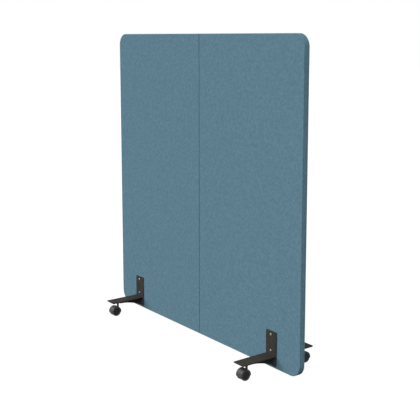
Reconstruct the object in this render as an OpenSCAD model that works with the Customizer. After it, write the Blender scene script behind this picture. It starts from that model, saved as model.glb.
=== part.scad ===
// Rolling partition: a fabric-covered acoustic panel on four steel feet with twin-wheel casters.
// Millimetres. X runs along the panel, Y through it with the front face towards -Y, Z up from the floor.

/* [Panel] */
// Width of the covered panel
panel_w = 1480; // [1100:10:1900]
// Height of the covered panel
panel_h = 1500; // [900:10:1900]
// Thickness over both covers
panel_t = 30; // [26:1:50]
// Radius of the panel's four corners
panel_r = 58; // [30:1:60]

/* [Covers and padding] */
// Thickness of the felt cover on each face
cover_t = 1; // [0.8:0.1:2]
// Thickness of the padding under each cover
padding_t = 3; // [2:0.5:5]
// Thickness of the felt band round the panel's edge
band_t = 1.5; // [1:0.1:3]
// Width of the gap between the two cover halves at the middle seam
seam_gap = 0.4; // [0.2:0.1:1]

/* [Timber frame] */
// Width of the two end stiles, wider than the corner radius
stile_w = 64; // [62:1:90]
// Height of the top and bottom rails
rail_h = 60; // [50:1:90]
// Width of the stile behind the middle seam
centre_stile_w = 40; // [30:1:80]
// Diameter of the dowels in the frame's joints
dowel_d = 8; // [6:1:10]
// Length of the dowels
dowel_l = 50; // [30:1:70]
// Distance between the two dowels of a rail joint
rail_dowel_pitch = 30; // [16:1:36]
// Distance between the two dowels of a centre stile joint
stile_dowel_pitch = 20; // [12:1:20]

/* [Mounting blocks] */
// Width of the timber block behind each pair of feet
block_w = 110; // [90:1:160]
// Height of the block above the upper screw
block_over = 31; // [15:1:60]
// Outer diameter of the threaded sleeves through the block
sleeve_d = 10; // [9:0.5:14]

/* [Feet] */
// Distance from the panel's end to the middle of a foot
foot_inset = 185; // [120:1:300]
// Width of the upright plate
plate_w = 68; // [60:1:110]
// Height of the upright plate
plate_h = 158; // [150:1:240]
// Thickness of the upright plate
plate_t = 6; // [3:0.5:8]
// Height of the plate's lower end above the panel's lower edge
plate_rise = 13; // [5:1:20]
// Radius of the plate's corners
plate_r = 2; // [1:0.5:10]
// Reach of the arm from the panel's face
arm_reach = 194; // [185:1:260]
// Width of the arm at its tip
arm_tip_w = 66; // [40:1:68]
// Thickness of the arm
arm_t = 6; // [4:0.5:8]
// Height of the arm's top face above the panel's lower edge
arm_rise = 61.5; // [50:0.5:65]
// Thickness of the rib under the arm
rib_t = 5; // [3:0.5:8]
// Depth of the rib at its outer end
rib_tip_depth = 15; // [8:1:15]
// Gap between the rib's outer end and the caster stem's collar
rib_end_gap = 2; // [1:0.5:10]

/* [Screws] */
// Nominal diameter of the screws
screw_d = 6; // [5:0.5:8]
// Diameter of the screw heads
screw_head_d = 12; // [10:0.5:16]
// Height of the screw heads
screw_head_h = 3.3; // [2.5:0.1:5]
// Width across flats of the key socket in the heads
screw_key = 4; // [3:0.5:5]
// Depth of the key socket
screw_key_depth = 2; // [1:0.1:2.2]
// Length of thread inside the sleeve
screw_grip = 12; // [6:1:12]
// Height of the lower screw above the panel's lower edge
screw_rise = 80; // [78:1:90]
// Distance from the plate's upper end to the upper screw
screw_inset = 15; // [10:1:40]
// Diameter of the screw holes in the upright plate
plate_hole_d = 6.6; // [6.2:0.1:9]

/* [Casters] */
// Height from the floor to the underside of the arm
caster_h = 75; // [75:0.5:90]
// Distance from the arm's tip to the stem
stem_inset = 47; // [44:1:64]
// Diameter of the stem
stem_d = 8; // [7:0.5:10]
// Width across flats of the collar under the arm
collar_key = 15; // [12:1:22]
// Height of the collar
collar_h = 5; // [4:0.5:8]
// Distance by which the wheels trail behind the stem
trail = 17.5; // [16:0.5:22]
// Height of the stem's lower end above the axle
stem_foot = 1; // [0:0.5:3]
// Height of the snap ring above the stem's lower end
ring_rise = 6; // [4:0.5:9]
// Thickness of the wire of the snap ring
ring_t = 1.2; // [1:0.1:1.6]
// Width of the body between the two wheels
web_w = 14; // [14:0.5:16]
// Thickness of the hood over the wheels
hood_t = 1.8; // [1.4:0.1:3]
// Gap between the wheels and the hood
hood_gap = 0.8; // [0.5:0.1:3]
// Angle by which the hood wraps over the wheels' outer shoulders
hood_wrap = 40; // [10:1:60]
// Angle that the hood reaches below the axle on the stem's side
hood_front_angle = 12; // [0:1:20]
// Angle that the hood reaches below the axle on the trailing side
hood_back_angle = 14; // [0:1:20]
// Radius of the round boss that holds the axle
boss_r = 8; // [6:0.5:9]
// Wall of the body's neck round the stem
neck_wall = 1.6; // [1:0.1:3]
// Gap between the neck's upper end and the collar
neck_gap = 2; // [1:0.5:12]

/* [Wheels] */
// Diameter of the wheels
wheel_d = 50; // [46:1:54]
// Width of each wheel
wheel_w = 12.5; // [12:0.5:18]
// Thickness of the tyre
tyre_t = 6.5; // [5:0.1:7.5]
// Radius of the tyre's shoulders
tyre_shoulder = 3.2; // [1:0.1:4.5]
// Diameter of the axle
axle_d = 8; // [6:0.5:9]
// Thickness of the hub's disc
disc_t = 2.5; // [2:0.1:4]
// Depth by which the disc is sunk behind the rim
disc_sink = 2; // [1:0.1:3]
// Thickness of the hub's rim
rim_t = 4; // [3:0.1:5]
// Wall of the hub's boss round the axle
hub_wall = 3; // [2:0.5:4]
// Radius of the raised cap in the middle of the hub
cap_r = 6.5; // [4:0.5:8]
// Height of the raised cap over the disc
cap_h = 1.2; // [0.5:0.1:1.6]

/* [Clearances] */
// Radial clearance between a thread and its hole
thread_gap = 0.05; // [0.02:0.01:0.1]
// Radial clearance between a turning part and its shaft
running_gap = 0.05; // [0.02:0.01:0.1]
// Gap between a wheel and the body beside it
side_gap = 0.5; // [0.3:0.1:1]
// Gap at the end of a shaft in a blind hole
end_gap = 0.2; // [0.1:0.1:0.4]
// Gap round the snap ring in the body's groove
ring_gap = 0.3; // [0.2:0.1:0.5]

/* [Hidden] */
$fn = 96;
felt = "#5f8091";
felt_edge = "#4a6a79";
padding_grey = "#c9c9c4";
timber = "#c8a877";
felt_core = "#8d8f8c";
powder_black = "#3a3735";
nylon_black = "#1e1e1f";
tyre_black = "#2b2b2c";
zinc = "#b9b9b4";

CORNERS = ["front_left", "front_right", "back_left", "back_right"];
SIDE_X = [-1, 1, -1, 1];
SIDE_Y = [-1, -1, 1, 1];
PANEL_NODES = [
    "frame_top_rail", "frame_bottom_rail", "frame_left_stile", "frame_right_stile",
    "frame_centre_stile", "frame_dowels", "left_mount_block", "right_mount_block",
    "core_left", "core_right", "front_padding", "back_padding",
    "front_cover_left", "front_cover_right", "back_cover_left", "back_cover_right",
    "edge_band", "threaded_sleeves", "front_foot_screws", "back_foot_screws",
    "caster_stems", "stem_snap_rings"
];
CORNER_PARTS = [
    "foot_plate", "foot_arm", "foot_rib", "caster_body", "caster_axle",
    "left_hub", "right_hub", "left_tyre", "right_tyre"
];

// Panel: heights are over the floor
panel_bottom = caster_h + arm_t - arm_rise;
panel_mid = panel_bottom + panel_h / 2;
frame_t = panel_t - 2 * (cover_t + padding_t);
frame_w = panel_w - 2 * band_t;
frame_h = panel_h - 2 * band_t;
frame_bottom = panel_bottom + band_t;
frame_top = frame_bottom + frame_h;
rail_l = frame_w - 2 * stile_w;
bay_h = frame_h - 2 * rail_h;
bay_w = (rail_l - centre_stile_w) / 2;
bay_x = (centre_stile_w + bay_w) / 2;

// Feet and screws
foot_x = panel_w / 2 - foot_inset;
arm_under = caster_h;
stem_out = arm_reach - stem_inset;
plate_bottom = panel_bottom + plate_rise;
screw_heights = [panel_bottom + screw_rise, plate_bottom + plate_h - screw_inset];
block_bottom = frame_bottom + rail_h;
block_h = screw_heights[1] + block_over - block_bottom;
collar_r = collar_key / 2 / cos(30);
rib_l = stem_out - collar_r - rib_end_gap - plate_t;
rib_root_depth = arm_under - plate_bottom;
rib_drop = rib_root_depth - rib_tip_depth;
rib_arc_r = (rib_l * rib_l + rib_drop * rib_drop) / (2 * rib_drop);

// Casters
wheel_r = wheel_d / 2;
axle_z = wheel_r;
hood_inner_r = wheel_r + hood_gap;
hood_r = hood_inner_r + hood_t;
shoulder_z = web_w / 2 + side_gap + wheel_w - tyre_shoulder;
stem_bottom = axle_z + stem_foot;
ring_z = stem_bottom + ring_rise;
groove_r = stem_d / 2 - ring_t / 2;
wheel_inner_x = web_w / 2 + side_gap;
rim_r = wheel_r - tyre_t;
hub_depth = wheel_w - disc_sink - disc_t;
neck_h = arm_under - collar_h - neck_gap - axle_z;
axle_l = 2 * (wheel_inner_x + hub_depth - end_gap);

// Points of a circular arc from angle a0 to a1 in the given number of steps
function arc(centre, r, a0, a1, steps) =
    [for (i = [0 : steps]) let (a = a0 + (a1 - a0) * i / steps) centre + r * [cos(a), sin(a)]];

// Rectangle with round corners, centred on the origin
module round_rect(w, h, r) {
    square([w - 2 * r, h], center = true);
    square([w, h - 2 * r], center = true);
    for (x = [-1, 1], y = [-1, 1])
        translate([x * (w / 2 - r), y * (h / 2 - r)]) circle(r);
}

// Stands an outline drawn in XY up on the panel's middle, from depth y0 to y1
module upright(y0, y1) {
    translate([0, y1, panel_mid]) rotate([90, 0, 0]) linear_extrude(y1 - y0) children();
}

// The four holes for the sleeves, right through the panel
module sleeve_holes() {
    for (x = [-foot_x, foot_x], z = screw_heights)
        translate([x, panel_t, z]) rotate([90, 0, 0]) cylinder(h = 2 * panel_t, d = sleeve_d + 2 * thread_gap);
}

// A dowel along X at each joint of a rail with an end stile
module rail_dowels() {
    for (x = [-rail_l / 2, rail_l / 2], z = [frame_bottom + rail_h / 2, frame_top - rail_h / 2], s = [-1, 1])
        translate([x, 0, z + s * rail_dowel_pitch / 2]) rotate([0, 90, 0])
            cylinder(h = dowel_l, d = dowel_d, center = true);
}

// A dowel along Z at each joint of the centre stile with a rail
module stile_dowels() {
    for (x = [-1, 1], z = [frame_bottom + rail_h, frame_top - rail_h])
        translate([x * stile_dowel_pitch / 2, 0, z]) cylinder(h = dowel_l, d = dowel_d, center = true);
}

module frame_rail(z) {
    color(timber) difference() {
        translate([-rail_l / 2, -frame_t / 2, z]) cube([rail_l, frame_t, rail_h]);
        rail_dowels();
        stile_dowels();
    }
}

module frame_stile(side) {
    color(timber) difference() {
        upright(-frame_t / 2, frame_t / 2) intersection() {
            round_rect(frame_w, frame_h, panel_r - band_t);
            translate([side * (frame_w - stile_w) / 2, 0]) square([stile_w, frame_h], center = true);
        }
        rail_dowels();
    }
}

module frame_centre_stile() {
    color(timber) difference() {
        translate([-centre_stile_w / 2, -frame_t / 2, frame_bottom + rail_h])
            cube([centre_stile_w, frame_t, bay_h]);
        stile_dowels();
    }
}

module frame_dowels() {
    color(timber) {
        rail_dowels();
        stile_dowels();
    }
}

module block_space(side) {
    translate([side * foot_x - block_w / 2, -frame_t / 2, block_bottom]) cube([block_w, frame_t, block_h]);
}

module mount_block(side) {
    color(timber) difference() {
        block_space(side);
        sleeve_holes();
    }
}

module core(side) {
    color(felt_core) difference() {
        translate([side * bay_x - bay_w / 2, -frame_t / 2, frame_bottom + rail_h]) cube([bay_w, frame_t, bay_h]);
        block_space(side);
    }
}

module padding(face) {
    inner = face * (frame_t / 2 + padding_t / 2);
    color(padding_grey) difference() {
        upright(inner - padding_t / 2, inner + padding_t / 2) round_rect(frame_w, frame_h, panel_r - band_t);
        sleeve_holes();
    }
}

module cover(face, side) {
    middle = face * (panel_t - cover_t) / 2;
    half_w = (panel_w - seam_gap) / 2;
    color(felt) difference() {
        upright(middle - cover_t / 2, middle + cover_t / 2) intersection() {
            round_rect(panel_w, panel_h, panel_r);
            translate([side * (panel_w - half_w) / 2, 0]) square([half_w, panel_h], center = true);
        }
        sleeve_holes();
    }
}

module edge_band() {
    color(felt_edge) upright(-panel_t / 2 + cover_t, panel_t / 2 - cover_t) difference() {
        round_rect(panel_w, panel_h, panel_r);
        round_rect(frame_w, frame_h, panel_r - band_t);
    }
}

module threaded_sleeves() {
    color(zinc) for (x = [-foot_x, foot_x], z = screw_heights)
        translate([x, panel_t / 2, z]) rotate([90, 0, 0]) difference() {
            cylinder(h = panel_t, d = sleeve_d);
            translate([0, 0, -1]) cylinder(h = panel_t + 2, d = screw_d + 2 * thread_gap);
        }
}

// A foot's own frame: its middle at the panel's face, with +Y away from the panel
module at_foot(i) {
    translate([SIDE_X[i] * foot_x, SIDE_Y[i] * panel_t / 2, 0])
        rotate([0, 0, SIDE_Y[i] < 0 ? 180 : 0]) children();
}

module foot_plate() {
    color(powder_black) translate([0, plate_t, plate_bottom + plate_h / 2]) rotate([90, 0, 0])
        linear_extrude(plate_t) difference() {
            round_rect(plate_w, plate_h, plate_r);
            for (z = screw_heights)
                translate([0, z - plate_bottom - plate_h / 2]) circle(d = plate_hole_d);
        }
}

module foot_arm() {
    color(powder_black) translate([0, 0, arm_under]) difference() {
        linear_extrude(arm_t) polygon([
            [-plate_w / 2, plate_t], [plate_w / 2, plate_t],
            [arm_tip_w / 2, arm_reach], [-arm_tip_w / 2, arm_reach]
        ]);
        translate([0, stem_out, -1]) cylinder(h = arm_t + 2, d = stem_d + 2 * thread_gap);
    }
}

// The rib's lower edge is an arc that is level at its outer end and meets the plate's lower end
module foot_rib() {
    color(powder_black) translate([-rib_t / 2, plate_t, arm_under]) rotate([90, 0, 90])
        linear_extrude(rib_t) difference() {
            translate([0, -rib_root_depth]) square([rib_l, rib_root_depth]);
            translate([rib_l, -rib_tip_depth - rib_arc_r]) circle(rib_arc_r, $fn = 720);
        }
}

// One screw with its head's seat at the origin, its head towards +Y
module screw() {
    rotate([-90, 0, 0]) difference() {
        union() {
            translate([0, 0, -plate_t - screw_grip]) cylinder(h = plate_t + screw_grip, d = screw_d);
            cylinder(h = screw_head_h / 2, d = screw_head_d);
            translate([0, 0, screw_head_h / 2])
                cylinder(h = screw_head_h / 2, d1 = screw_head_d, d2 = screw_head_d * 0.75);
        }
        translate([0, 0, screw_head_h - screw_key_depth])
            cylinder(h = screw_key_depth + 1, d = screw_key / cos(30), $fn = 6);
    }
}

module foot_screws(feet) {
    color(zinc) for (i = feet, z = screw_heights)
        at_foot(i) translate([0, plate_t, z]) screw();
}

// A caster's own frame: on the floor under its stem, with its wheels trailing away from the panel along -Y
module at_caster(i) {
    translate([SIDE_X[i] * foot_x, SIDE_Y[i] * (panel_t / 2 + stem_out), 0])
        rotate([0, 0, SIDE_Y[i] < 0 ? 0 : 180]) children();
}

// The axle's own frame: its middle, with the axis along Z
module at_axle() {
    translate([0, -trail, axle_z]) rotate([0, 90, 0]) children();
}

module caster_stem() {
    difference() {
        union() {
            translate([0, 0, stem_bottom]) cylinder(h = arm_under + arm_t - stem_bottom, d = stem_d);
            translate([0, 0, arm_under - collar_h]) cylinder(h = collar_h, r = collar_r, $fn = 6);
        }
        translate([0, 0, ring_z - ring_t / 2]) difference() {
            cylinder(h = ring_t, d = stem_d + 1);
            translate([0, 0, -1]) cylinder(h = ring_t + 2, r = groove_r);
        }
    }
}

module snap_ring() {
    translate([0, 0, ring_z - ring_t / 2]) difference() {
        cylinder(h = ring_t, r = groove_r + ring_t);
        translate([0, 0, -1]) cylinder(h = ring_t + 2, r = groove_r);
    }
}

module caster_stems() {
    color(powder_black) for (i = [0 : 3]) at_caster(i) caster_stem();
}

module stem_snap_rings() {
    color(zinc) for (i = [0 : 3]) at_caster(i) snap_ring();
}

// Section of the hood, at one gap from the wheels' treads and outer shoulders, radius first
module hood_section() {
    centre = [wheel_r - tyre_shoulder, shoulder_z];
    inner = tyre_shoulder + hood_gap;
    outer = inner + hood_t;
    polygon(concat(
        arc(centre, inner, hood_wrap, 0, 4),
        [for (p = arc(centre, inner, 0, hood_wrap, 4)) [p[0], -p[1]]],
        [for (p = arc(centre, outer, hood_wrap, 0, 4)) [p[0], -p[1]]],
        arc(centre, outer, 0, hood_wrap, 4)
    ));
}

// Hood, web and neck in one moulding, with the stem's socket and the axle's hole. The boss round the axle
// stands out from the web by half of the gap to the wheels.
module caster_body() {
    color(nylon_black) difference() {
        union() {
            at_axle() rotate([0, 0, 90 - hood_front_angle])
                rotate_extrude(angle = 180 + hood_front_angle + hood_back_angle) {
                    translate([0, -web_w / 2]) square([hood_r - hood_t / 2, web_w]);
                    hood_section();
                }
            at_axle() cylinder(h = web_w + side_gap, r = boss_r, center = true);
            translate([0, 0, axle_z]) cylinder(h = neck_h, d = stem_d + 2 * (running_gap + neck_wall));
        }
        at_axle() cylinder(h = web_w + side_gap + 2, d = axle_d, center = true);
        translate([0, 0, stem_bottom - end_gap])
            cylinder(h = caster_h, d = stem_d + 2 * running_gap);
        translate([0, 0, ring_z - ring_t / 2 - ring_gap])
            cylinder(h = ring_t + 2 * ring_gap, r = groove_r + ring_t + ring_gap);
    }
}

module caster_axle() {
    color(zinc) at_axle() cylinder(h = axle_l, d = axle_d, center = true);
}

// A wheel's own frame: at its inner face, with +Z outwards along the axle
module at_wheel(side) {
    at_axle() rotate([side > 0 ? 0 : 180, 0, 0]) translate([0, 0, wheel_inner_x]) children();
}

// Rim, disc, boss with a blind hole for the axle, and a raised cap
module hub(side) {
    hole_r = axle_d / 2 + running_gap;
    disc_z = hub_depth;
    color(nylon_black) at_wheel(side) rotate_extrude() polygon([
        [hole_r, 0], [hole_r + hub_wall, 0], [hole_r + hub_wall, disc_z], [rim_r - rim_t, disc_z],
        [rim_r - rim_t, 0], [rim_r, 0], [rim_r, wheel_w - tyre_shoulder / 2],
        [rim_r - rim_t / 3, wheel_w], [rim_r - rim_t, wheel_w], [rim_r - rim_t - disc_sink, disc_z + disc_t],
        [cap_r + cap_h, disc_z + disc_t], [cap_r, disc_z + disc_t + cap_h], [0, disc_z + disc_t + cap_h],
        [0, disc_z], [hole_r, disc_z]
    ]);
}

module tyre(side) {
    inner = wheel_r - tyre_shoulder;
    color(tyre_black) at_wheel(side) rotate_extrude() polygon(concat(
        [[rim_r, 0]],
        arc([inner, tyre_shoulder], tyre_shoulder, -90, 0, 4),
        arc([inner, wheel_w - tyre_shoulder], tyre_shoulder, 0, 60, 4),
        [[rim_r, wheel_w - tyre_shoulder / 2]]
    ));
}

frame_rail(frame_top - rail_h);  // frame_top_rail
frame_rail(frame_bottom);  // frame_bottom_rail
frame_stile(-1);  // frame_left_stile
frame_stile(1);  // frame_right_stile
frame_centre_stile();
frame_dowels();
mount_block(-1);  // left_mount_block
mount_block(1);  // right_mount_block
core(-1);  // core_left
core(1);  // core_right
padding(-1);  // front_padding
padding(1);  // back_padding
cover(-1, -1);  // front_cover_left
cover(-1, 1);  // front_cover_right
cover(1, -1);  // back_cover_left
cover(1, 1);  // back_cover_right
edge_band();
threaded_sleeves();
foot_screws([0, 1]);  // front_foot_screws
foot_screws([2, 3]);  // back_foot_screws
caster_stems();
stem_snap_rings();
for (i = [0 : 3]) {
    at_foot(i) foot_plate();
    at_foot(i) foot_arm();
    at_foot(i) foot_rib();
    at_caster(i) caster_body();
    at_caster(i) caster_axle();
    at_caster(i) hub(SIDE_Y[i]);
    at_caster(i) hub(-SIDE_Y[i]);
    at_caster(i) tyre(SIDE_Y[i]);
    at_caster(i) tyre(-SIDE_Y[i]);
}
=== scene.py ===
"""Rolling partition: a felt-covered panel on four steel feet with twin-wheel casters, dressed over its CAD frame."""
from contextlib import contextmanager
from math import copysign, cos, pi, radians, sin, sqrt

import bmesh
import bpy
from bpy.props import FloatProperty, FloatVectorProperty, PointerProperty
from mathutils import Matrix, Vector


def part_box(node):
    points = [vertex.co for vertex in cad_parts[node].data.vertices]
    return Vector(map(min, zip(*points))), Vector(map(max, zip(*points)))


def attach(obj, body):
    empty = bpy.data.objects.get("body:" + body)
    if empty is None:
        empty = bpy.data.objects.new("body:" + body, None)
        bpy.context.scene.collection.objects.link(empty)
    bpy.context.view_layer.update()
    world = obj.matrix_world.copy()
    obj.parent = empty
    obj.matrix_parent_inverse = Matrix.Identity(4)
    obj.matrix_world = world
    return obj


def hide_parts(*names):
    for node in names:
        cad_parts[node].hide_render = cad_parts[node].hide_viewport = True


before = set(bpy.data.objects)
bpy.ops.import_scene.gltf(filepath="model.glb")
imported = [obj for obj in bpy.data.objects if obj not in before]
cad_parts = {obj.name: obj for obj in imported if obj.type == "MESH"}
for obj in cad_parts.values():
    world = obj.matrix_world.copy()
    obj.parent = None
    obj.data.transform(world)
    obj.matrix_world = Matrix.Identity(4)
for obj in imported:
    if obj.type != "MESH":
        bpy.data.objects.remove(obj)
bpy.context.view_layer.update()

bl_info = {
    "name": "Rolling Partition",
    "version": (1, 0, 0),
    "blender": (4, 5, 0),
    "location": "View3D > Sidebar > Partition",
    "description": "Dresses the frame of a rolling partition in felt, steel, zinc and nylon",
    "category": "Object",
}

MM = 0.001
TINY = 0.05 * MM
MERGE = 0.005 * MM          # distance within which a CAD node's vertices are one
FLAT = radians(0.5)         # angle under which two faces of a CAD node are one
CLEAR = 1 * MM              # how far a cutter stands out of what it cuts
REACH = 0.05                # half the length of a cutter that goes through the panel
SEAM_STEPS = 100            # parts of a seam's edge, of which the outer ones bend
FACE_MARGIN = 1.5 * MM      # strip that keeps a cover's large face flat in its shading
PADDING_ROUND = 1.1 * MM
BOARD_ROUND = 1.6 * MM
WELD_MARGIN = 4 * MM        # how far a weld stops short of the steel's end
WELD_FADE = 2 * MM          # length over which a weld thins out
HEAD_DOME = 0.78            # share of a screw head's height that is domed
SEAT_ROUND = 0.25 * MM
TIP_ROUND = 0.7 * MM
KEY_DEPTH = 2 * MM
SUN_ANGLE = radians(40)
CORNERS = {"front_left": (-1, -1), "front_right": (1, -1), "back_left": (-1, 1), "back_right": (1, 1)}
SIDES = {"left": -1, "right": 1}
FACES = {"front": -1, "back": 1}

PANEL_LOW, PANEL_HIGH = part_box("edge_band")
SCREWS_LOW, SCREWS_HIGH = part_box("front_foot_screws")


# ---------------------------------------------------------------- settings

def length(name, description, millimetres):
    return FloatProperty(name=name, description=description, default=millimetres * MM, min=0, unit="LENGTH",
                         precision=5)


def tint(name, description, rgb):
    return FloatVectorProperty(name=name, description=description, default=rgb, size=3, min=0, max=1,
                               subtype="COLOR")


class PanelSettings(bpy.types.PropertyGroup):
    """Sizes and colours of the felt-covered panel"""
    corner_radius: length("Corner radius", "Radius of the panel's four corners", 58)
    cover_thickness: length("Cover thickness", "Thickness of the felt on each face", 1)
    fold_radius: length("Fold radius", "Radius at which a cover folds round the panel's edge", 2.4)
    rim_depth: length("Rim depth", "How far a cover turns onto the panel's edge", 6.7)
    seam_radius: length("Seam radius", "Radius at which a cover rolls into the middle seam", 1.6)
    seam_opening: length("Seam opening", "Half the width of the groove that the middle seam lies in", 2.6)
    seam_close: length("Seam close", "Distance over which the groove closes at its two ends", 6)
    seam_depth: length("Seam depth", "Depth of the groove that the middle seam lies in", 2.95)
    band_width: length("Band width", "Width of the felt band that shows on the panel's edge", 16)
    band_thickness: length("Band thickness", "Thickness of the felt band", 1.5)
    band_round: length("Band rounding", "Radius of the band's turned-in sides", 1.4)
    hem_round: length("Hem rounding", "Radius of a cover's hem beside the band", 0.95)
    padding_groove: length("Padding groove", "Half the width of the padding's groove behind the seam", 6)
    hole_radius: length("Sleeve holes", "Radius of the holes round the threaded sleeves", 5.05)
    felt_color: tint("Felt", "Colour of the covers", (0.101, 0.187, 0.239))
    edge_color: tint("Edge felt", "Colour of the band", (0.101, 0.187, 0.239))


class FootSettings(bpy.types.PropertyGroup):
    """Sizes and colours of the steel feet and their screws"""
    edge_radius: length("Edge radius", "Rounding of the steel's cut edges", 0.7)
    weld_radius: length("Weld radius", "Radius of the weld beads", 2.6)
    weld_ripple: length("Weld ripple", "Distance between the ripples of a weld", 2.4)
    head_radius: length("Screw head", "Radius of the screw heads", 6)
    head_height: length("Screw head height", "Height of the screw heads", 3.3)
    key_width: length("Key width", "Width across flats of the key socket", 4)
    screw_radius: length("Screw", "Radius of the screws", 3)
    screw_length: length("Screw length", "Length under the head", 16)
    powder_color: tint("Powder coat", "Colour of the coated steel", (0.040, 0.0375, 0.0345))
    zinc_color: tint("Zinc", "Colour of the plated screws", (0.26, 0.251, 0.234))


class CasterSettings(bpy.types.PropertyGroup):
    """Finish of the casters"""
    moulding_radius: length("Moulding radius", "Rounding of the moulded edges", 0.35)
    nylon_color: tint("Nylon", "Colour of the moulded hubs", (0.009, 0.009, 0.0095))
    # The hood's colour is lighter than the hubs' as a painted sheen, standing in for the reflection on its front
    hood_painted_sheen_color: tint("Hood", "Colour of the moulded bodies, a little worn and dusty", (0.031, 0.031, 0.031))
    tyre_color: tint("Tyre", "Colour of the soft treads", (0.066, 0.066, 0.066))


class StageSettings(bpy.types.PropertyGroup):
    """Camera, lights and floor"""
    camera_place: FloatVectorProperty(name="Camera", description="Place of the camera", size=3,
                                      subtype="TRANSLATION", default=(3.3527, -2.4612, 1.502))
    camera_heading: FloatProperty(name="Heading", description="Turn of the camera about the vertical",
                                  subtype="ANGLE", default=radians(53.152))
    camera_pitch: FloatProperty(name="Pitch", description="Tilt of the camera below the level",
                                subtype="ANGLE", default=radians(8.29))
    camera_lens: FloatProperty(name="Lens", description="Focal length over a 36 mm sensor",
                               unit="CAMERA", default=73.194)
    camera_shift: FloatProperty(name="Shift", default=-0.115,
                                description="Upward shift of the lens, so small that other views show all of it")
    front_light: FloatProperty(name="Front light", description="Light from ahead on each side", default=0.445)
    end_light: FloatProperty(name="End light", description="Light on each end from its own side", default=0.05)
    back_light: FloatProperty(name="Back light", description="Light on the back from behind", default=0.9)
    sky_strength: FloatProperty(name="Sky", description="Strength of the light from all round", default=0.36)
    floor_size: FloatProperty(name="Floor", description="Width of the floor", unit="LENGTH", default=60)


# ---------------------------------------------------------------- shading

class Socket:
    """An output of a shader node that takes part in Python's arithmetic"""

    def __init__(self, graph, output):
        self.graph, self.output = graph, output

    def math(self, operation, *values):
        return self.graph.node("ShaderNodeMath", {"operation": operation}, dict(enumerate(values)))

    def __add__(self, other):
        return self.math("ADD", self, other)

    def __sub__(self, other):
        return self.math("SUBTRACT", self, other)

    def __mul__(self, other):
        return self.math("MULTIPLY", self, other)

    __radd__ = __add__


class Graph:
    """A node tree that grows by Python expressions"""

    def __init__(self, tree):
        self.tree = tree

    def node(self, kind, settings=None, values=None, output=0):
        """Adds a node: its settings first, then its sockets' values or links"""
        node = self.tree.nodes.new(kind)
        for name, value in (settings or {}).items():
            setattr(node, name, value)
        for key, value in (values or {}).items():
            if isinstance(value, Socket):
                self.tree.links.new(value.output, node.inputs[key])
            else:
                node.inputs[key].default_value = value
        return Socket(self, node.outputs[output]) if node.outputs else None

    def seen(self):
        """One for what the camera sees, straight, in gloss or through glass"""
        camera, glossy, through = (self.node("ShaderNodeLightPath", output=f"Is {ray} Ray")
                                   for ray in ("Camera", "Glossy", "Transmission"))
        return camera.math("MAXIMUM", camera.math("MAXIMUM", camera, glossy), through)


class Finish(Graph):
    """A procedural material on the piece's Object coordinates"""

    def __init__(self, name, **constants):
        self.material = bpy.data.materials.new(name)
        self.material.use_nodes = True
        super().__init__(self.material.node_tree)
        self.shader = self.tree.nodes["Principled BSDF"]
        for socket, value in constants.items():
            self.shader.inputs[socket.replace("_", " ")].default_value = value
        self.place = self.node("ShaderNodeTexCoord", output="Object")

    def stretched(self, scale):
        return self.node("ShaderNodeMapping", {}, {"Vector": self.place, "Scale": scale})

    def noise(self, scale, detail=2.0, roughness=0.5, place=None):
        return self.node("ShaderNodeTexNoise", {}, {"Vector": place or self.place, "Scale": scale,
                                                    "Detail": detail, "Roughness": roughness})

    def blend(self, factor, first, second):
        """Mixes two colours"""
        four = [value if isinstance(value, Socket) else (*value, 1) for value in (first, second)]
        return self.node("ShaderNodeMix", {"data_type": "RGBA"}, {0: factor, 6: four[0], 7: four[1]}, 2)

    def bump(self, height, distance, strength=1.0):
        return self.node("ShaderNodeBump", {}, {"Height": height, "Distance": distance, "Strength": strength})

    def feed(self, **links):
        for socket, value in links.items():
            self.tree.links.new(value.output, self.shader.inputs[socket.replace("_", " ")])
        return self.material


def shade(rgb, factor):
    return tuple(min(1, channel * factor) for channel in rgb)


def felt_finish(name, rgb):
    """Pressed wool felt: fine crossed fibres, paler and darker flecks, and a faint cloudiness"""
    felt = Finish(name, Roughness=0.95, Specular_IOR_Level=0.0)
    cloud = felt.noise(90, 2)
    upright = felt.noise(420, 3, 0.65, felt.stretched((2.2, 2.2, 0.7)))
    across = felt.noise(420, 3, 0.65, felt.stretched((0.7, 2.2, 2.2)))
    fleck = felt.noise(1500, 1)
    fibres = upright * 0.5 + across * 0.5
    tone = 0.5 + (cloud - 0.5) * 0.9 + (fibres - 0.5) * 1.5 + (fleck - 0.5) * 0.9
    color = felt.blend(tone, shade(rgb, 0.72), shade(rgb, 1.28))
    height = fibres + fleck * 0.35
    return felt.feed(Base_Color=color, Normal=felt.bump(height, 0.5 * MM, 0.5))


def wadding_finish(name, rgb):
    """Needled polyester: loose fibres with rows of needle marks"""
    wadding = Finish(name, Roughness=0.95, Specular_IOR_Level=0.1)
    fibre = wadding.noise(260, 5, 0.7, wadding.stretched((1, 1, 0.4)))
    cells = wadding.node("ShaderNodeTexVoronoi", {"feature": "F1"}, {"Vector": wadding.place, "Scale": 180.0})
    color = wadding.blend(fibre * 0.8 + cells * 0.3, shade(rgb, 0.8), shade(rgb, 1.1))
    return wadding.feed(Base_Color=color, Normal=wadding.bump(fibre + cells * 0.6, 0.8 * MM, 0.6))


def timber_finish(name, along):
    """Planed softwood with its grain along one axis"""
    timber = Finish(name, Roughness=0.6, Specular_IOR_Level=0.35)
    squeeze = [6.0, 6.0, 6.0]
    squeeze[along] = 0.35
    place = timber.stretched(squeeze)
    warp = timber.noise(5, 2, 0.5, place)
    ring = timber.node("ShaderNodeTexWave", {"bands_direction": "XYZ"[(along + 1) % 3]},
                       {"Vector": place, "Scale": 6.0, "Distortion": 5.0, "Detail": 2.0})
    pore = timber.noise(90, 3, 0.6, place)
    tone = ring * 0.5 + warp * 0.3 + pore * 0.25
    color = timber.blend(tone, (0.62, 0.43, 0.22), (0.36, 0.2, 0.08))
    return timber.feed(Base_Color=color, Roughness=0.5 + pore * 0.2, Normal=timber.bump(pore, 0.15 * MM, 0.4))


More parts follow.
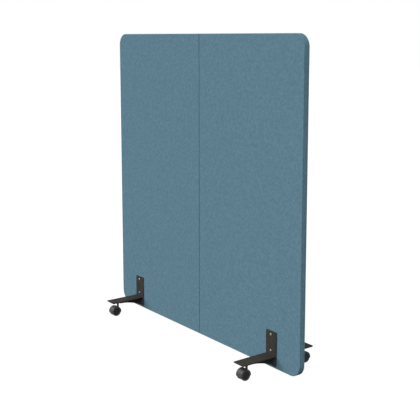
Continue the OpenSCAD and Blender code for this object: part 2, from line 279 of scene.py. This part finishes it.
def powder_finish(name, rgb):
    """Fine-textured black powder coat"""
    powder = Finish(name, Specular_IOR_Level=0.01)
    grain = powder.noise(1300, 2, 0.6)
    drift = powder.noise(35, 2)
    color = powder.blend(drift * 0.6 + grain * 0.4, shade(rgb, 0.8), shade(rgb, 1.2))
    return powder.feed(Base_Color=color, Roughness=0.55 + grain * 0.12,
                       Normal=powder.bump(grain, 0.12 * MM, 0.6))


def zinc_finish(name, rgb):
    """Bright zinc plating with fine turning marks and a cloudy passivation"""
    zinc = Finish(name, Metallic=1.0)
    cloud = zinc.noise(400, 3, 0.6)
    line = zinc.noise(3000, 1, 0.5)
    color = zinc.blend(cloud, shade(rgb, 0.85), shade(rgb, 1.1))
    return zinc.feed(Base_Color=color, Roughness=0.3 + cloud * 0.2, Normal=zinc.bump(line, 0.02 * MM, 0.4))


def nylon_finish(name, rgb, gloss):
    """Moulded black nylon with a fine spark-eroded grain"""
    nylon = Finish(name, Specular_IOR_Level=gloss)
    grain = nylon.noise(1700, 2, 0.6)
    wear = nylon.noise(120, 3)
    color = nylon.blend(wear, shade(rgb, 0.75), shade(rgb, 1.35))
    return nylon.feed(Base_Color=color, Roughness=0.38 + grain * 0.16, Normal=nylon.bump(grain, 0.06 * MM, 0.5))


def tyre_finish(name, rgb):
    """Soft grey tread, a little dusty and scuffed round its running face"""
    tyre = Finish(name, Specular_IOR_Level=0.1)
    scuff = tyre.noise(160, 4, 0.65, tyre.stretched((2.5, 1, 1)))
    dust = tyre.noise(900, 2, 0.6)
    color = tyre.blend(scuff * 0.7 + dust * 0.3, shade(rgb, 0.7), shade(rgb, 1.35))
    return tyre.feed(Base_Color=color, Roughness=0.62 + dust * 0.2, Normal=tyre.bump(scuff + dust, 0.1 * MM, 0.5))


FINISHES = {}


def finish_for(slot, context, variant=""):
    """The material of a slot, made when it is first asked for"""
    panel, foot, caster = (context.scene.partition_panel, context.scene.partition_foot,
                           context.scene.partition_caster)
    makers = {
        "felt": lambda name: felt_finish(name, panel.felt_color),
        "edge_felt": lambda name: felt_finish(name, panel.edge_color),
        "padding": lambda name: wadding_finish(name, (0.6, 0.6, 0.57)),
        "panel_core": lambda name: wadding_finish(name, (0.27, 0.28, 0.26)),
        "timber": lambda name: timber_finish(name, 0 if variant == "across" else 2),
        "powder_coated_steel": lambda name: powder_finish(name, foot.powder_color),
        "zinc_plated_steel": lambda name: zinc_finish(name, foot.zinc_color),
        # The hood's variant takes the lighter colour, a painted sheen, and more gloss; the hubs take the plain nylon
        # colour
        "black_nylon": lambda name: nylon_finish(name, *((caster.hood_painted_sheen_color, 0.3) if variant == "hood" else
                                                         (caster.nylon_color, 0.15))),
        "soft_tyre": lambda name: tyre_finish(name, caster.tyre_color),
    }
    key = slot + variant
    if key not in FINISHES:
        FINISHES[key] = makers[slot]("_".join(filter(None, (slot, variant))))
    return FINISHES[key]


# ---------------------------------------------------------------- modelling

def deselect():
    bpy.ops.object.select_all(action="DESELECT")


def activate(piece):
    deselect()
    piece.select_set(True)
    bpy.context.view_layer.objects.active = piece


@contextmanager
def editing(piece):
    """Edit mode on one piece"""
    activate(piece)
    bpy.ops.object.mode_set(mode="EDIT")
    yield
    bpy.ops.object.mode_set(mode="OBJECT")


def pick(kind, test):
    """Selects only the vertices, edges or faces that pass a test, in edit mode"""
    bpy.ops.mesh.select_mode(type=kind)
    bpy.ops.mesh.select_all(action="DESELECT")
    mesh = bmesh.from_edit_mesh(bpy.context.object.data)
    for item in {"VERT": mesh.verts, "EDGE": mesh.edges, "FACE": mesh.faces}[kind]:
        if test(item):
            item.select_set(True)
    mesh.select_flush_mode()
    bmesh.update_edit_mesh(bpy.context.object.data)


def apply_modifier(piece, kind, **settings):
    activate(piece)
    modifier = piece.modifiers.new(kind.title(), kind)
    for name, value in settings.items():
        setattr(modifier, name, value)
    bpy.ops.object.modifier_apply(modifier=modifier.name)


def smooth(piece, angle=34):
    activate(piece)
    bpy.ops.object.shade_smooth_by_angle(angle=radians(angle))


def own_copy(piece, name):
    """A copy with its own mesh"""
    twin = piece.copy()
    twin.data = piece.data.copy()
    twin.name = twin.data.name = name
    bpy.context.collection.objects.link(twin)
    return twin


def flip(piece, sx, sy):
    """Mirrors an open skin across the panel's middle planes, and keeps its faces outwards"""
    piece.data.transform(Matrix.Diagonal((sx, sy, 1, 1)))
    if sx * sy < 0:
        with editing(piece):
            bpy.ops.mesh.select_all(action="SELECT")
            bpy.ops.mesh.flip_normals()


def add_sheet(name, low, high, depth):
    """A flat sheet in X and Z that faces the front, at one depth in Y"""
    deselect()
    bpy.ops.mesh.primitive_plane_add(size=1, rotation=(pi / 2, 0, 0),
                                     location=((low.x + high.x) / 2, depth, (low.z + high.z) / 2))
    sheet = bpy.context.object
    sheet.name = sheet.data.name = name
    sheet.scale = (high.x - low.x, high.z - low.z, 1)
    bpy.ops.object.transform_apply(location=True, rotation=True, scale=True)
    return sheet


def round_corners(sheet, radius, test=lambda vertex: True, segments=24):
    with editing(sheet):
        pick("VERT", test)
        bpy.ops.mesh.bevel(offset=radius, segments=segments, affect="VERTICES", profile=0.5)


def cut(piece, cutter):
    """Cuts one piece with another, which goes"""
    apply_modifier(piece, "BOOLEAN", operation="DIFFERENCE", solver="EXACT", object=cutter)
    bpy.data.objects.remove(cutter)


def cylinder(name, radius, low, high, axis="Z", vertices=48):
    """A closed cylinder along Y or Z between two points"""
    deselect()
    bpy.ops.mesh.primitive_cylinder_add(vertices=vertices, radius=radius, depth=(high - low).length,
                                        location=(low + high) / 2,
                                        rotation=(pi / 2 if axis == "Y" else 0, 0, 0))
    rod = bpy.context.object
    rod.name = name
    bpy.ops.object.transform_apply(location=True, rotation=True, scale=True)
    return rod


def sleeve_places(foot):
    """Middle of each of the four threaded sleeves, in X and Z"""
    x = SCREWS_HIGH.x - foot.head_radius
    heights = SCREWS_LOW.z + foot.head_radius, SCREWS_HIGH.z - foot.head_radius
    return [(side * x, z) for side in (-1, 1) for z in heights]


def cut_sleeve_holes(piece, context, side=0):
    radius = context.scene.partition_panel.hole_radius
    for x, z in sleeve_places(context.scene.partition_foot):
        if x * side >= 0:
            cut(piece, cylinder("hole", radius, Vector((x, -REACH, z)), Vector((x, REACH, z)), "Y"))


def softened(node, name, radius, segments=2, angle=30):
    """A copy of a CAD node with merged faces and rounded edges"""
    piece = own_copy(bpy.data.objects[node], name)
    with editing(piece):
        bpy.ops.mesh.select_all(action="SELECT")
        bpy.ops.mesh.remove_doubles(threshold=MERGE)
        bpy.ops.mesh.dissolve_limited(angle_limit=FLAT)
    apply_modifier(piece, "BEVEL", width=radius, segments=segments, limit_method="ANGLE",
                   angle_limit=radians(angle), use_clamp_overlap=True)
    smooth(piece)
    return piece


def dress(piece, body, slot, context, *nodes, variant=""):
    """Gives a finished piece its material, hangs it on the body it rides on, and hides the CAD nodes it stands for
    """
    piece.data.materials.clear()
    piece.data.materials.append(finish_for(slot, context, variant))
    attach(piece, body)
    if nodes:
        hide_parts(*nodes)
    return piece


def repaint(node, slot, context, variant=""):
    """Gives a CAD node that stays its better material"""
    for holder in bpy.data.objects[node].material_slots:
        holder.material = finish_for(slot, context, variant)


# ---------------------------------------------------------------- pieces

def on_outline(place, panel):
    """Whether a point is on the panel's outline with its four round corners"""
    radius = panel.corner_radius
    middle = (PANEL_LOW + PANEL_HIGH) / 2
    over_x = abs(place.x - middle.x) - (PANEL_HIGH.x - middle.x - radius)
    over_z = abs(place.z - middle.z) - (PANEL_HIGH.z - middle.z - radius)
    outside = sqrt(max(over_x, 0) ** 2 + max(over_z, 0) ** 2)
    return abs(outside + min(max(over_x, over_z), 0) - radius) < 5 * TINY


class PARTITION_OT_covers(bpy.types.Operator):
    """Four felt covers, folded round the panel's edge and rolled into the middle seams"""
    bl_idname = "partition.covers"
    bl_label = "Felt covers"
    bl_options = {"REGISTER", "UNDO"}

    def execute(self, context):
        panel = context.scene.partition_panel
        skin = self.skin(panel)
        for face, sy in FACES.items():
            for side, sx in SIDES.items():
                cover = own_copy(skin, f"{face}_cover_{side}_felt")
                flip(cover, sx, -sy)
                apply_modifier(cover, "SOLIDIFY", thickness=panel.cover_thickness, offset=-1,
                               use_even_offset=True, use_rim=True)
                hem = PANEL_HIGH.y + panel.cover_thickness - panel.rim_depth
                with editing(cover):
                    pick("EDGE", lambda edge: all(on_outline(end.co, panel) and abs(abs(end.co.y) - hem) < TINY
                                                  for end in edge.verts))
                    bpy.ops.mesh.bevel(offset=panel.hem_round, segments=2, profile=0.5)
                cut_sleeve_holes(cover, context, sx)
                smooth(cover)
                dress(cover, "panel", "felt", context, f"{face}_cover_{side}")
        bpy.data.objects.remove(skin)
        return {"FINISHED"}

    def skin(self, panel):
        """The outer surface of the front right cover"""
        low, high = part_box("front_cover_right")
        skin = add_sheet("cover_skin", low, high, low.y)
        round_corners(skin, panel.corner_radius, lambda vertex: vertex.co.x > high.x - TINY)

        def on_seam(vertex):
            return vertex.co.x < low.x + TINY

        with editing(skin):
            pick("EDGE", lambda edge: all(map(on_seam, edge.verts)))
            bpy.ops.mesh.subdivide(number_cuts=SEAM_STEPS - 1)
            pick("EDGE", lambda edge: edge.is_boundary)
            bpy.ops.mesh.extrude_edges_move(TRANSFORM_OT_translate={"value": (0, panel.seam_depth, 0)})
            pick("EDGE", lambda edge: edge.is_boundary and not all(map(on_seam, edge.verts)))
            bpy.ops.mesh.extrude_edges_move(
                TRANSFORM_OT_translate={"value": (0, panel.rim_depth - panel.seam_depth, 0)})
            pick("EDGE", lambda edge: all(on_seam(end) and abs(end.co.y - low.y - panel.seam_depth) < TINY
                                          for end in edge.verts))
            bpy.ops.mesh.extrude_edges_move(TRANSFORM_OT_translate={"value": (-TINY, 0, 0)})
        step = (high.z - low.z) / SEAM_STEPS
        for vertex in skin.data.vertices:
            place = vertex.co
            from_end = min(place.z - low.z, high.z - place.z)
            if not on_seam(vertex) or from_end < TINY:
                continue
            if from_end < step + TINY:
                place.z += copysign(step - panel.seam_close, place.z - (low.z + high.z) / 2)
            if place.x > low.x - TINY / 2:
                place.x += panel.seam_opening
        with editing(skin):
            bpy.ops.mesh.select_all(action="SELECT")
            bpy.ops.mesh.remove_doubles(threshold=2 * TINY)
        weights = skin.data.attributes.new("bevel_weight_edge", "FLOAT", "EDGE")
        for edge, weight in zip(skin.data.edges, weights.data):
            ends = [skin.data.vertices[index] for index in edge.vertices]
            if all(end.co.y < low.y + TINY for end in ends):
                seam = all(end.co.x < low.x + panel.seam_opening + TINY for end in ends)
                weight.value = panel.seam_radius / panel.fold_radius if seam else 1
        apply_modifier(skin, "BEVEL", width=panel.fold_radius, segments=6, limit_method="WEIGHT",
                       use_clamp_overlap=False)
        with editing(skin):
            mesh = bmesh.from_edit_mesh(skin.data)
            largest = max(face.calc_area() for face in mesh.faces)
            pick("FACE", lambda face: face.calc_area() > largest * 0.99)
            bpy.ops.mesh.inset(thickness=FACE_MARGIN, depth=0)
        return skin


class PARTITION_OT_edge_band(bpy.types.Operator):
    """Felt band round the panel's edge, with its sides turned in at the two seams"""
    bl_idname = "partition.edge_band"
    bl_label = "Edge band"
    bl_options = {"REGISTER", "UNDO"}

    def execute(self, context):
        panel = context.scene.partition_panel
        half = panel.band_width / 2
        band = add_sheet("edge_band_felt", PANEL_LOW, PANEL_HIGH, -half)
        round_corners(band, panel.corner_radius)
        with editing(band):
            bpy.ops.mesh.select_all(action="SELECT")
            bpy.ops.mesh.delete(type="ONLY_FACE")
            bpy.ops.mesh.select_all(action="SELECT")
            bpy.ops.mesh.extrude_edges_move(TRANSFORM_OT_translate={"value": (0, 2 * half, 0)})
        middle = (PANEL_LOW + PANEL_HIGH) / 2
        if sum(face.normal.dot(face.center - middle) for face in band.data.polygons) < 0:
            with editing(band):
                bpy.ops.mesh.select_all(action="SELECT")
                bpy.ops.mesh.flip_normals()
        apply_modifier(band, "SOLIDIFY", thickness=panel.band_thickness, offset=-1,
                       use_even_offset=True, use_rim=True)
        with editing(band):
            pick("EDGE", lambda edge: all(on_outline(end.co, panel) and abs(abs(end.co.y) - half) < TINY
                                          for end in edge.verts))
            bpy.ops.mesh.bevel(offset=panel.band_round, segments=3, profile=0.5)
        smooth(band)
        dress(band, "panel", "edge_felt", context, "edge_band")
        return {"FINISHED"}


class PARTITION_OT_padding(bpy.types.Operator):
    """Two layers of wadding with soft edges and a groove behind each middle seam"""
    bl_idname = "partition.padding"
    bl_label = "Padding"
    bl_options = {"REGISTER", "UNDO"}

    def execute(self, context):
        panel = context.scene.partition_panel
        low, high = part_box("front_padding")
        pad = add_sheet("padding", low, high, low.y)
        inset = PANEL_HIGH.x - high.x
        round_corners(pad, panel.corner_radius - inset)
        with editing(pad):
            bpy.ops.mesh.select_all(action="SELECT")
            bpy.ops.mesh.extrude_region_move(TRANSFORM_OT_translate={"value": (0, high.y - low.y, 0)})
            bpy.ops.mesh.select_all(action="SELECT")
            bpy.ops.mesh.normals_make_consistent(inside=False)
            pick("EDGE", lambda edge: all(vertex.co.y < low.y + TINY for vertex in edge.verts))
            bpy.ops.mesh.bevel(offset=PADDING_ROUND, segments=3, profile=0.5)
        half, through = panel.padding_groove, high.y - low.y + 2 * CLEAR
        top = PANEL_HIGH.z + 2 * REACH
        cutter = add_sheet("groove", Vector((-half, 0, 0)), Vector((half, 0, top)), low.y - CLEAR)
        with editing(cutter):
            bpy.ops.mesh.select_all(action="SELECT")
            bpy.ops.mesh.extrude_region_move(TRANSFORM_OT_translate={"value": (0, through, 0)})
            bpy.ops.mesh.select_all(action="SELECT")
            bpy.ops.mesh.normals_make_consistent(inside=False)
        cut(pad, cutter)
        cut_sleeve_holes(pad, context)
        for face, sy in FACES.items():
            wadding = own_copy(pad, f"{face}_padding_wadding")
            flip(wadding, 1, -sy)
            smooth(wadding)
            dress(wadding, "panel", "padding", context, f"{face}_padding")
        bpy.data.objects.remove(pad)
        return {"FINISHED"}


class PARTITION_OT_core(bpy.types.Operator):
    """Acoustic core boards with worn-soft edges"""
    bl_idname = "partition.core"
    bl_label = "Core boards"
    bl_options = {"REGISTER", "UNDO"}

    def execute(self, context):
        for side in SIDES:
            board = softened(f"core_{side}", f"core_{side}_board", BOARD_ROUND, segments=3)
            dress(board, "panel", "panel_core", context, f"core_{side}")
        return {"FINISHED"}


class PARTITION_OT_timber(bpy.types.Operator):
    """Timber frame, dowels and mounting blocks, with the threaded sleeves"""
    bl_idname = "partition.timber"
    bl_label = "Timber frame"
    bl_options = {"REGISTER", "UNDO"}

    def execute(self, context):
        for node in ("frame_top_rail", "frame_bottom_rail", "frame_dowels"):
            repaint(node, "timber", context, "across")
        for node in ("frame_left_stile", "frame_right_stile", "frame_centre_stile",
                     "left_mount_block", "right_mount_block"):
            repaint(node, "timber", context, "upright")
        repaint("threaded_sleeves", "zinc_plated_steel", context)
        return {"FINISHED"}


class PARTITION_OT_feet(bpy.types.Operator):
    """Four steel feet: plate, arm and rib, with their weld beads"""
    bl_idname = "partition.feet"
    bl_label = "Feet"
    bl_options = {"REGISTER", "UNDO"}

    def execute(self, context):
        foot = context.scene.partition_foot
        for corner, (_, sy) in CORNERS.items():
            for part in ("plate", "arm", "rib"):
                node = f"{corner}_foot_{part}"
                steel = softened(node, f"{node}_steel", foot.edge_radius)
                dress(steel, "panel", "powder_coated_steel", context, node)
            self.welds(corner, sy, foot, context)
        return {"FINISHED"}

    def welds(self, corner, sy, foot, context):
        """Beads under the arm and down both sides of the rib"""
        plate_low, plate_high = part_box(f"{corner}_foot_plate")
        arm_low, arm_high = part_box(f"{corner}_foot_arm")
        rib_low, rib_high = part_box(f"{corner}_foot_rib")
        plate_face = plate_low.y if sy < 0 else plate_high.y
        under = arm_low.z
        outer = rib_low.y if sy < 0 else rib_high.y
        beads = [
            ((plate_low.x + WELD_MARGIN, plate_face, under), (rib_low.x, plate_face, under)),
            ((rib_high.x, plate_face, under), (plate_high.x - WELD_MARGIN, plate_face, under)),
        ]
        for x in (rib_low.x, rib_high.x):
            beads.append(((x, plate_face, rib_low.z + WELD_MARGIN), (x, plate_face, under)))
            beads.append(((x, plate_face, under), (x, outer - sy * WELD_MARGIN, under)))
        parts = [self.bead(Vector(start), Vector(end), foot) for start, end in beads]
        deselect()
        for part in parts:
            part.select_set(True)
        bpy.context.view_layer.objects.active = parts[0]
        bpy.ops.object.join()
        welds = bpy.context.object
        welds.name = welds.data.name = f"{corner}_foot_welds"
        smooth(welds, 50)
        dress(welds, "panel", "powder_coated_steel", context)

    def bead(self, start, end, foot):
        """One rippled bead between two points"""
        run = end - start
        rings = max(3, round(run.length / foot.weld_ripple) * 3)
        bead = cylinder("bead", foot.weld_radius, Vector((0, 0, 0)), Vector((0, 0, run.length)), vertices=12)
        with editing(bead):
            pick("EDGE", lambda edge: abs(edge.verts[0].co.z - edge.verts[1].co.z) > TINY)
            bpy.ops.mesh.subdivide(number_cuts=rings)
        for vertex in bead.data.vertices:
            along = vertex.co.z / foot.weld_ripple
            ripple = 1 + 0.07 * sin(2 * pi * along) + 0.05 * sin(2.3 * along + 20 * start.x)
            end_fade = min(1, vertex.co.z / WELD_FADE, (run.length - vertex.co.z) / WELD_FADE)
            size = ripple * sqrt(max(0.25, end_fade))
            vertex.co.x, vertex.co.y = vertex.co.x * size, vertex.co.y * size
        turn = Vector((0, 0, 1)).rotation_difference(run).to_matrix().to_4x4()
        bead.data.transform(Matrix.Translation(start) @ turn)
        return bead


class PARTITION_OT_screws(bpy.types.Operator):
    """Button-head screws with key sockets"""
    bl_idname = "partition.screws"
    bl_label = "Screws"
    bl_options = {"REGISTER", "UNDO"}

    def execute(self, context):
        foot = context.scene.partition_foot
        master = self.screw(foot)
        for face, sy in FACES.items():
            low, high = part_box(f"{face}_foot_screws")
            seat = low.y + foot.head_height if sy < 0 else high.y - foot.head_height
            copies = []
            for count, (x, z) in enumerate(sleeve_places(foot)):
                screw = own_copy(master, "screw")
                spin = Matrix.Rotation(radians(17 + 101 * count + 40 * sy), 4, "Z")
                stand = Matrix.Rotation(-sy * pi / 2, 4, "X")
                screw.data.transform(Matrix.Translation((x, seat, z)) @ stand @ spin)
                copies.append(screw)
            deselect()
            for screw in copies:
                screw.select_set(True)
            bpy.context.view_layer.objects.active = copies[0]
            bpy.ops.object.join()
            group = bpy.context.object
            group.name = group.data.name = f"{face}_foot_screws_zinc"
            smooth(group)
            dress(group, "panel", "zinc_plated_steel", context, f"{face}_foot_screws")
        bpy.data.objects.remove(master)
        return {"FINISHED"}

    def screw(self, foot):
        """One screw along Z with its seat at the origin"""
        head = foot.head_height
        screw = cylinder("screw", foot.head_radius, Vector((0, 0, 0)), Vector((0, 0, head)), vertices=48)
        with editing(screw):
            pick("EDGE", lambda edge: all(vertex.co.z > head - TINY for vertex in edge.verts))
            bpy.ops.mesh.bevel(offset=head * HEAD_DOME, segments=7, profile=0.5)
            pick("EDGE", lambda edge: all(vertex.co.z < TINY for vertex in edge.verts))
            bpy.ops.mesh.bevel(offset=SEAT_ROUND, segments=2, profile=0.5)
            pick("FACE", lambda face: face.normal.z < -0.9 and len(face.verts) > 8)
            bpy.ops.mesh.inset(thickness=foot.head_radius - SEAT_ROUND - foot.screw_radius, depth=0)
            bpy.ops.mesh.extrude_region_move(TRANSFORM_OT_translate={"value": (0, 0, -foot.screw_length)})
        shank_end = -foot.screw_length
        with editing(screw):
            pick("EDGE", lambda edge: all(vertex.co.z < shank_end + TINY for vertex in edge.verts))
            bpy.ops.mesh.bevel(offset=TIP_ROUND, segments=2, profile=0.5)
        socket = cylinder("socket", foot.key_width / 2 / cos(pi / 6), Vector((0, 0, head - KEY_DEPTH)),
                          Vector((0, 0, head + CLEAR)), vertices=6)
        cut(screw, socket)
        return screw


class PARTITION_OT_casters(bpy.types.Operator):
    """Moulded caster bodies, stems with their collars, axles and snap rings"""
    bl_idname = "partition.casters"
    bl_label = "Caster bodies"
    bl_options = {"REGISTER", "UNDO"}

    def execute(self, context):
        caster = context.scene.partition_caster
        for corner in CORNERS:
            node = f"{corner}_caster_body"
            body = softened(node, f"{node}_moulding", caster.moulding_radius)
            dress(body, f"{corner}_caster", "black_nylon", context, node, variant="hood")
            repaint(f"{corner}_caster_axle", "zinc_plated_steel", context)
        stems = softened("caster_stems", "caster_stems_steel", caster.moulding_radius)
        dress(stems, "panel", "powder_coated_steel", context, "caster_stems")
        repaint("stem_snap_rings", "zinc_plated_steel", context)
        return {"FINISHED"}


class PARTITION_OT_wheels(bpy.types.Operator):
    """Hubs with a raised rim round a sunk disc, and soft treads"""
    bl_idname = "partition.wheels"
    bl_label = "Wheels"
    bl_options = {"REGISTER", "UNDO"}

    def execute(self, context):
        caster = context.scene.partition_caster
        for corner in CORNERS:
            for side in SIDES:
                wheel = f"{corner}_{side}_wheel"
                hub_node, tyre_node = f"{corner}_{side}_hub", f"{corner}_{side}_tyre"
                hub = softened(hub_node, f"{hub_node}_moulding", caster.moulding_radius)
                dress(hub, wheel, "black_nylon", context, hub_node)
                tyre = softened(tyre_node, f"{tyre_node}_tread", caster.moulding_radius)
                dress(tyre, wheel, "soft_tyre", context, tyre_node)
        return {"FINISHED"}


class PARTITION_OT_stage(bpy.types.Operator):
    """Camera, soft lights, a white surround and a floor"""
    bl_idname = "partition.stage"
    bl_label = "Stage"
    bl_options = {"REGISTER", "UNDO"}

    def execute(self, context):
        stage = context.scene.partition_stage
        context.scene.view_settings.view_transform = "Standard"
        self.camera(context, stage)
        self.lights(context, stage)
        self.surround(context, stage)
        self.floor(context, stage)
        return {"FINISHED"}

    def camera(self, context, stage):
        data = bpy.data.cameras.new("camera")
        data.lens, data.sensor_width, data.shift_y = stage.camera_lens, 36, stage.camera_shift
        camera = bpy.data.objects.new("camera", data)
        context.collection.objects.link(camera)
        camera.location = stage.camera_place
        camera.rotation_euler = (pi / 2 - stage.camera_pitch, 0, stage.camera_heading)
        context.scene.camera = camera

    def lights(self, context, stage):
        lamps = {
            "front_right_light": (stage.front_light, (0.8, -1, 1)),
            "front_left_light": (stage.front_light, (-0.8, -1, 1)),
            "right_light": (stage.end_light, (1, 0, 0.3)),
            "left_light": (stage.end_light, (-1, 0, 0.3)),
            "back_light": (stage.back_light, (0, 1, 0.12)),
        }
        for name, (level, toward) in lamps.items():
            toward = Vector(toward)
            sun = bpy.data.lights.new(name, "SUN")
            sun.energy, sun.angle = pi * level * toward.length, SUN_ANGLE
            lamp = bpy.data.objects.new(name, sun)
            context.collection.objects.link(lamp)
            lamp.rotation_euler = toward.to_track_quat("Z", "Y").to_euler()

    def surround(self, context, stage):
        """White to the camera, and a dimmer white that lights the object"""
        context.scene.world = bpy.data.worlds.new("surround")
        context.scene.world.use_nodes = True
        graph = Graph(context.scene.world.node_tree)
        graph.tree.nodes.clear()
        sky, white = (graph.node("ShaderNodeBackground", {}, {"Color": (1, 1, 1, 1), "Strength": strength})
                      for strength in (stage.sky_strength, 1.0))
        mix = graph.node("ShaderNodeMixShader", {}, {0: graph.seen(), 1: sky, 2: white})
        graph.node("ShaderNodeOutputWorld", {}, {"Surface": mix})

    def floor(self, context, stage):
        """A pale floor that takes the object's shadow and throws little light back"""
        deselect()
        bpy.ops.mesh.primitive_plane_add(size=stage.floor_size, location=(0, 0, 0))
        floor = context.object
        floor.name = "floor"
        material = bpy.data.materials.new("floor")
        floor.data.materials.append(material)
        material.use_nodes = True
        graph = Graph(material.node_tree)
        graph.tree.nodes.clear()
        dark, matt = (graph.node("ShaderNodeBsdfDiffuse", {}, {"Color": (tone, tone, tone, 1)})
                      for tone in (0.06, 0.12))
        glow = graph.node("ShaderNodeEmission", {}, {"Strength": 0.92})
        pale = graph.node("ShaderNodeAddShader", {}, {0: matt, 1: glow})
        mix = graph.node("ShaderNodeMixShader", {}, {0: graph.seen(), 1: dark, 2: pale})
        graph.node("ShaderNodeOutputMaterial", {}, {"Surface": mix})


OPERATORS = (PARTITION_OT_stage, PARTITION_OT_padding, PARTITION_OT_covers, PARTITION_OT_edge_band,
             PARTITION_OT_core, PARTITION_OT_timber, PARTITION_OT_feet, PARTITION_OT_screws,
             PARTITION_OT_casters, PARTITION_OT_wheels)
SETTINGS = {"partition_panel": PanelSettings, "partition_foot": FootSettings,
            "partition_caster": CasterSettings, "partition_stage": StageSettings}


class PARTITION_PT_sidebar(bpy.types.Panel):
    """Lists the partition's sizes, colours and operators"""
    bl_label = "Rolling Partition"
    bl_idname = "PARTITION_PT_sidebar"
    bl_space_type = "VIEW_3D"
    bl_region_type = "UI"
    bl_category = "Partition"

    def draw(self, context):
        for name, group in SETTINGS.items():
            column = self.layout.box().column()
            for prop in group.__annotations__:
                column.prop(getattr(context.scene, name), prop)
        for operator in OPERATORS:
            self.layout.operator(operator.bl_idname)


def register():
    for cls in (*SETTINGS.values(), *OPERATORS, PARTITION_PT_sidebar):
        bpy.utils.register_class(cls)
    for name, group in SETTINGS.items():
        setattr(bpy.types.Scene, name, PointerProperty(type=group))


def unregister():
    for name in SETTINGS:
        delattr(bpy.types.Scene, name)
    for cls in reversed((*SETTINGS.values(), *OPERATORS, PARTITION_PT_sidebar)):
        bpy.utils.unregister_class(cls)


def main():
    register()
    deselect()
    for operator in OPERATORS:
        group, name = operator.bl_idname.split(".")
        getattr(getattr(bpy.ops, group), name)()


if __name__ == "__main__":
    main()
